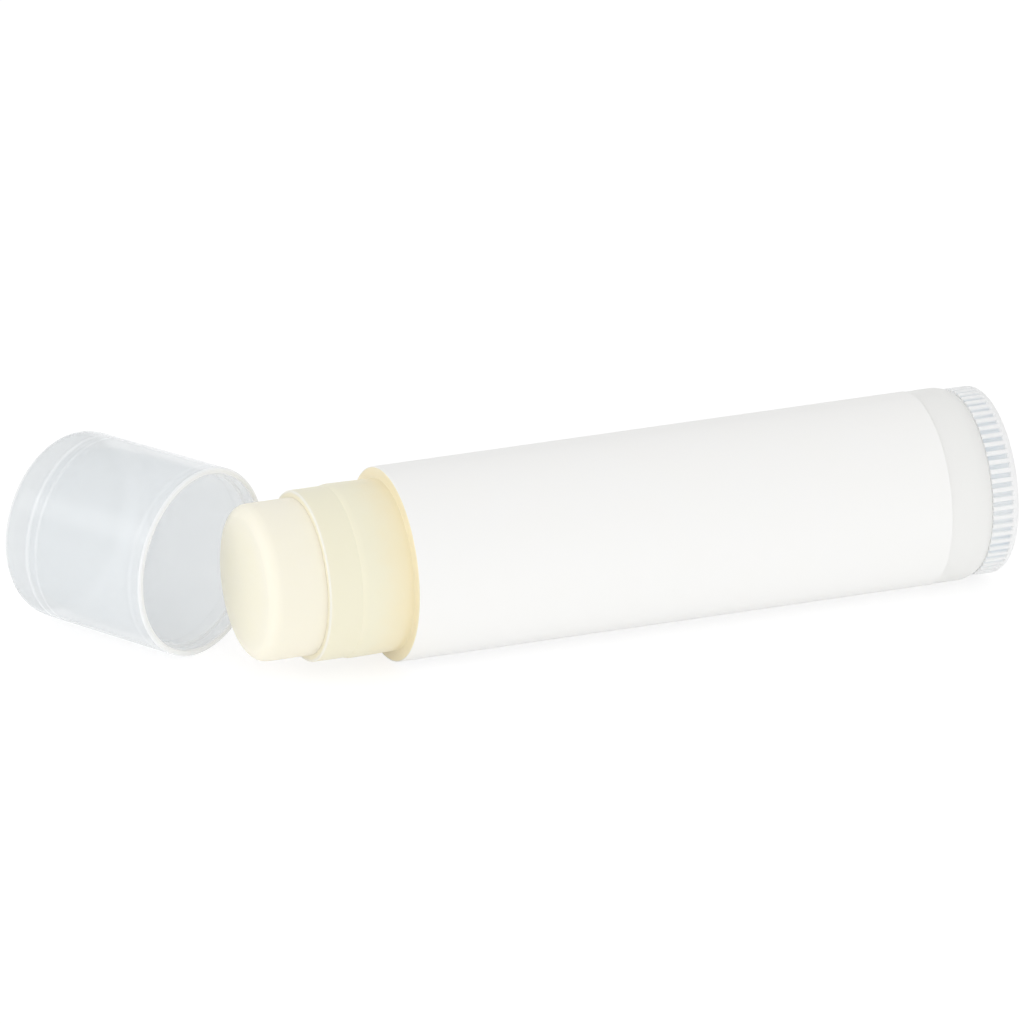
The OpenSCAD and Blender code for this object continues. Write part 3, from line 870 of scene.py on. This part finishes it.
class LIPBALM_OT_cap(bpy.types.Operator):
    """Builds the cap with its lead-in, snap ring and closed end"""

    bl_idname = "lipbalm.cap"
    bl_label = "Cap"

    def execute(self, context):
        sizes = context.scene.lipbalm_cap
        floor_z = sizes.length - sizes.end_wall
        ring_z = sizes.lead_in_len + sizes.ring_len
        ledge_end = sizes.length - sizes.ledge
        ledge_start = ledge_end - sizes.ledge_len
        ledge = sizes.deep - sizes.ledge_step
        well = ledge - sizes.ledge_step
        outline = [
            (0, sizes.length, 0),
            (sizes.end, sizes.length, sizes.end_round),
            (sizes.mouth, 0, sizes.lip_round),
            (sizes.lead_in, 0, sizes.lead_in_round),
            (sizes.lead_in, sizes.lead_in_len, 0),
            (sizes.ring, sizes.lead_in_len, sizes.ring_round),
            (sizes.ring, ring_z, sizes.ring_round),
            (sizes.bore, ring_z, 0),
            (sizes.bore, sizes.grip_len, 0),
            (sizes.deep, sizes.grip_len + sizes.step_len, sizes.step_round),
            (sizes.deep, ledge_start, 0),
            (ledge, ledge_start + sizes.ledge_ramp, 0),
            (ledge, ledge_end, 0),
            (well, ledge_end + sizes.ledge_ramp, 0),
            (well, floor_z, sizes.fillet),
            (0, floor_z, 0),
        ]
        bm = bmesh.new()
        turn_outline(bm, outline, closed=False)
        place = cap_place(sizes)
        material = cap_material(context.scene.lipbalm_colours, sizes, place.translation)
        make_piece("cap_shell", bm, place, material, "cap", ["cap"])
        return {"FINISHED"}


def lay_paper(scene):
    """Lays the paper on the floor, under the object."""
    bm = bmesh.new()
    bmesh.ops.create_grid(bm, x_segments=1, y_segments=1, size=PAPER_REACH)
    mesh = bpy.data.meshes.new("floor")
    bm.to_mesh(mesh)
    bm.free()
    floor = bpy.data.objects.new("floor", mesh)
    scene.collection.objects.link(floor)
    mesh.materials.append(paper_material())


def light_room(scene):
    """Lights the object from a white room, stronger in front than behind. The camera sees plain white."""
    world = bpy.data.worlds.new("soft_white_room")
    scene.world = world
    world.use_nodes = True
    tree = world.node_tree
    tree.nodes.clear()
    path = add_node(tree, "ShaderNodeLightPath")
    direction = add_node(tree, "ShaderNodeTexCoord").outputs["Generated"]
    parts = add_node(tree, "ShaderNodeSeparateXYZ", inputs={0: direction})
    strength = add_node(
        tree, "ShaderNodeMapRange",
        inputs={
            "Value": parts.outputs["Y"], "From Min": -1, "From Max": 1, "To Min": ROOM_FRONT,
            "To Max": ROOM_BACK,
        },
    ).outputs["Result"]
    light = add_node(tree, "ShaderNodeBackground", inputs={"Color": WHITE, "Strength": strength})
    white = add_node(tree, "ShaderNodeBackground", inputs={"Color": WHITE, "Strength": 1})
    rays = {0: path.outputs["Is Camera Ray"], 1: path.outputs["Is Transmission Ray"]}
    seen = add_node(tree, "ShaderNodeMath", LARGER, rays)
    shown = {0: seen.outputs[0], 1: light.outputs[0], 2: white.outputs[0]}
    mix = add_node(tree, "ShaderNodeMixShader", inputs=shown)
    add_node(tree, "ShaderNodeOutputWorld", inputs={"Surface": mix.outputs[0]})
    for name, place, width, height, watts in SOFTBOXES:
        lamp = bpy.data.lights.new(name, "AREA")
        lamp.shape = "RECTANGLE"
        lamp.size = width
        lamp.size_y = height
        lamp.energy = watts
        lamp_object = bpy.data.objects.new(name, lamp)
        lamp_object.location = place
        lamp_object.rotation_mode = "QUATERNION"
        lamp_object.rotation_quaternion = (-Vector(place)).to_track_quat("-Z", "Y")
        scene.collection.objects.link(lamp_object)


def place_camera(scene):
    """Puts the camera where the photograph's stood, with its aim and its focal length."""
    level = math.cos(CAMERA_ELEVATION)
    back = Vector((
        math.sin(CAMERA_AZIMUTH) * level, -math.cos(CAMERA_AZIMUTH) * level, math.sin(CAMERA_ELEVATION)
    ))
    right = Vector((math.cos(CAMERA_AZIMUTH), math.sin(CAMERA_AZIMUTH), 0))
    up = back.cross(right)
    ahead = (right * AIM_RIGHT + up * AIM_UP - back).normalized()
    side = (right - ahead * ahead.dot(right)).normalized()
    axes = Matrix((side, side.cross(ahead), -ahead)).transposed().to_4x4()
    camera = bpy.data.cameras.new("camera")
    camera.sensor_width = SENSOR_MM
    camera.lens = FOCAL_PIXELS / FRAME_PIXELS * SENSOR_MM
    camera.clip_start = NEAREST_SEEN
    camera.clip_end = FARTHEST_SEEN
    camera_object = bpy.data.objects.new("camera", camera)
    stand = Vector((LABEL_LOW.x, AXIS_Y, 0)) + back * CAMERA_DISTANCE
    camera_object.matrix_world = Matrix.Translation(stand) @ axes
    scene.collection.objects.link(camera_object)
    scene.camera = camera_object


class LIPBALM_OT_stage(bpy.types.Operator):
    """Builds the floor, the lights, the world and the camera"""

    bl_idname = "lipbalm.stage"
    bl_label = "Stage"

    def execute(self, context):
        scene = context.scene
        scene.view_settings.view_transform = "Standard"
        lay_paper(scene)
        light_room(scene)
        place_camera(scene)
        return {"FINISHED"}


class LIPBALM_PT_pieces(bpy.types.Panel):
    """Lists the operators that build the lip balm stick"""

    bl_idname = "LIPBALM_PT_pieces"
    bl_label = "Lip balm stick"
    bl_space_type = "VIEW_3D"
    bl_region_type = "UI"
    bl_category = "Lip balm"

    def draw(self, context):
        for piece in PIECES:
            self.layout.operator(piece.bl_idname)


GROUPS = {
    "lipbalm_tube": TubeSizes,
    "lipbalm_dial": DialSizes,
    "lipbalm_balm": BalmSizes,
    "lipbalm_cap": CapSizes,
    "lipbalm_colours": Colours,
}
PIECES = [
    LIPBALM_OT_stage,
    LIPBALM_OT_barrel,
    LIPBALM_OT_label,
    LIPBALM_OT_dial,
    LIPBALM_OT_carrier,
    LIPBALM_OT_balm,
    LIPBALM_OT_cap,
]


def register():
    for cls in [*GROUPS.values(), *PIECES, LIPBALM_PT_pieces]:
        bpy.utils.register_class(cls)
    for name, group in GROUPS.items():
        setattr(bpy.types.Scene, name, bpy.props.PointerProperty(type=group))


def unregister():
    for name in GROUPS:
        delattr(bpy.types.Scene, name)
    for cls in reversed([*GROUPS.values(), *PIECES, LIPBALM_PT_pieces]):
        bpy.utils.unregister_class(cls)


def main():
    register()
    bpy.ops.lipbalm.stage()
    bpy.ops.lipbalm.barrel()
    bpy.ops.lipbalm.label()
    bpy.ops.lipbalm.dial()
    bpy.ops.lipbalm.carrier()
    bpy.ops.lipbalm.balm()
    bpy.ops.lipbalm.cap()


if __name__ == "__main__":
    main()
